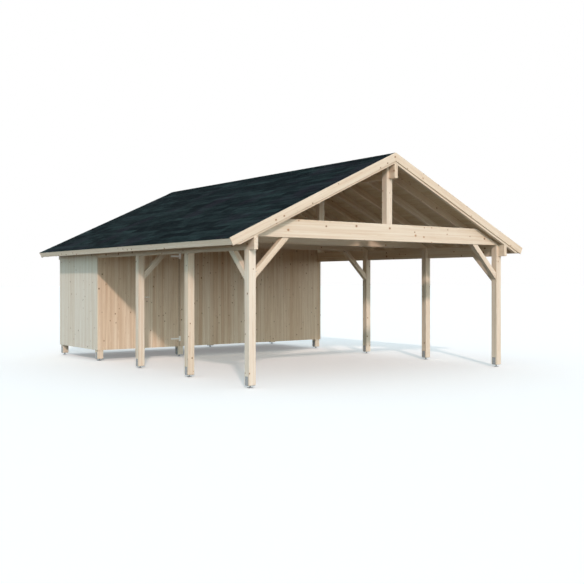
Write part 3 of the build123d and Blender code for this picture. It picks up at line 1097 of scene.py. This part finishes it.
# Hinges. Galvanised strap hinges with a rolled eye, screwed on the leaf, that turn on the pins
# of plates screwed beside the door. Bright zinc with fine crystals.
hinge_zinc = zinc_coat(
    "bright hinge zinc", bright=(0.93, 0.91, 0.86), dull=(0.82, 0.80, 0.76),
    crystal_size=0.005, shine=0.7, metallic=0.45,
)
dress_node("hinge_straps", hinge_zinc)
dress_node("hinge_plates", hinge_zinc)
pin_line, strap_face, plate_middle, plate_face = -0.966, 1.711, -0.9395, 1.715
strap_screws = []
plate_screws = []
for level in (0.371, 2.083):
    for reach in (0.035, 0.082, 0.130, 0.176):
        strap_screws.append(((pin_line - reach, strap_face, level), (0, -1, 0)))
    for offset in (-0.036, 0.036):
        plate_screws.append(((plate_middle, plate_face, level + offset), (0, -1, 0)))
fasteners(
    "strap_screws", strap_screws, radius=0.004, rise=0.0012, sides=12, material=hinge_zinc,
    body="door",
)
fasteners("plate_screws", plate_screws, radius=0.004, rise=0.0012, sides=12, material=hinge_zinc)

# Door handle. A bent round lever on a round rose, satin aluminium, brushed along the lever and
# polished in patches by hands. The rose is held by two screws.
satin, tree = new_material("satin aluminium")
place = own_place(tree)
brushed = noise(tree, vector_calc(tree, "MULTIPLY", place, (30.0, 900.0, 900.0)), 1.0, 3.0)
handled = noise(tree, place, 40.0, 3.0)
shader = lay_finish(
    tree,
    mix_colours(tree, brushed, (0.88, 0.87, 0.84, 1.0), (0.97, 0.96, 0.93, 1.0)),
    calc(tree, "MULTIPLY_ADD", handled, 0.2, 0.14),
    brushed,
    strength=0.2,
    depth=0.0001,
)
shader.inputs["Metallic"].default_value = 0.8
dress_node("door_handle", satin)
rose_x, rose_face, handle_height = -1.78, 1.707, 1.245
rose_screws = [
    ((rose_x, rose_face, handle_height + offset), (0, -1, 0)) for offset in (-0.0195, 0.0195)
]
fasteners(
    "rose_screws", rose_screws, radius=0.0032, rise=0.0009, sides=12, material=satin, body="door",
)

# Floor, light and camera. A pale floor that is white to the camera and keeps the shadow, one
# low key from the front left, and a soft sky, brightest low down and cooler on the left.
# The camera is at eye height, with a 53 mm lens.


def seen_whole(tree):
    """1 on a ray from the camera, or on one that is mirrored or let through, else 0."""
    rays = tree.nodes.new("ShaderNodeLightPath").outputs
    seen = calc(tree, "MAXIMUM", rays["Is Camera Ray"], rays["Is Glossy Ray"])
    return calc(tree, "MAXIMUM", seen, rays["Is Transmission Ray"])


def join_shaders(tree, kind, first, second):
    """The two shaders added or mixed."""
    made = tree.nodes.new(kind)
    shader_sockets = [socket for socket in made.inputs if socket.type == "SHADER"]
    tree.links.new(first.outputs[0], shader_sockets[0])
    tree.links.new(second.outputs[0], shader_sockets[1])
    return made


def show_by_ray(tree, lighting, seen, output_kind):
    """One shader lights the scene, and the other is what the camera sees."""
    either = join_shaders(tree, "ShaderNodeMixShader", lighting, seen)
    tree.links.new(seen_whole(tree), either.inputs[0])
    tree.links.new(either.outputs[0], tree.nodes.new(output_kind).inputs["Surface"])


half, level = 260, -0.002
floor_mesh = bpy.data.meshes.new("floor")
floor_mesh.from_pydata(
    [(-half, -half, level), (half, -half, level), (half, half, level), (-half, half, level)],
    [],
    [(0, 1, 2, 3)],
)
floor = bpy.data.objects.new("floor", floor_mesh)
bpy.context.scene.collection.objects.link(floor)
pale_floor, tree = new_material("pale floor")
tree.nodes.clear()
dull_floor = add_node(tree, "ShaderNodeBsdfDiffuse", {"Color": (0.12, 0.09, 0.06, 1.0)})
white_floor = add_node(tree, "ShaderNodeBsdfDiffuse", {"Color": (0.92, 0.92, 0.92, 1.0)})
lift = add_node(tree, "ShaderNodeEmission", {"Color": (1.0, 1.0, 1.0, 1.0), "Strength": 0.22})
lifted_floor = join_shaders(tree, "ShaderNodeAddShader", white_floor, lift)
show_by_ray(tree, dull_floor, lifted_floor, "ShaderNodeOutputMaterial")
floor_mesh.materials.append(pale_floor)

sky = bpy.data.worlds.new("even sky")
bpy.context.scene.world = sky
sky.use_nodes = True
tree = sky.node_tree
tree.nodes.clear()
from_front, from_left = (2.35, 2.5, 2.28, 1.0), (0.85, 1.35, 1.4, 1.0)
from_rest, zenith = (2.3, 2.25, 2.35, 1.0), (0.48, 0.60, 0.66, 1.0)
white_sky = add_node(
    tree, "ShaderNodeBackground", {"Color": (1.0, 1.0, 1.0, 1.0), "Strength": 1.0}
)
toward = add_node(
    tree,
    "ShaderNodeSeparateXYZ",
    {"Vector": add_node(tree, "ShaderNodeTexCoord", {}).outputs["Generated"]},
).outputs
sky_colour = mix_colours(tree, ramp(tree, toward["X"], -0.8, -0.2), from_left, from_rest)
sky_colour = mix_colours(tree, ramp(tree, toward["Y"], -0.8, -0.2), from_front, sky_colour)
sky_colour = mix_colours(tree, ramp(tree, toward["Z"], 0.0, 0.55), sky_colour, zenith)
lighting_sky = add_node(tree, "ShaderNodeBackground", {"Color": sky_colour, "Strength": 1.0})
show_by_ray(tree, lighting_sky, white_sky, "ShaderNodeOutputWorld")

key = bpy.data.lights.new("key", "SUN")
key.energy = 1.66
key.color = (1.0, 0.78, 0.69)
key.angle = math.radians(2.5)
key_lamp = bpy.data.objects.new("key", key)
key_lamp.rotation_mode = "QUATERNION"
key_lamp.rotation_quaternion = Vector((0.56, 1.0, -0.562)).to_track_quat("-Z", "Y")
bpy.context.scene.collection.objects.link(key_lamp)

camera_data = bpy.data.cameras.new("camera")
camera_data.sensor_width = 36
camera_data.lens = 52.877
camera_data.shift_y = -0.01748
camera_data.clip_end = 1000
camera = bpy.data.objects.new("camera", camera_data)
camera.location = (-9.6144, -14.0920, 1.5529)
camera.rotation_euler = (math.radians(90), 0, math.radians(-36.1797))
bpy.context.scene.collection.objects.link(camera)
bpy.context.scene.camera = camera
bpy.context.scene.view_settings.view_transform = "Standard"
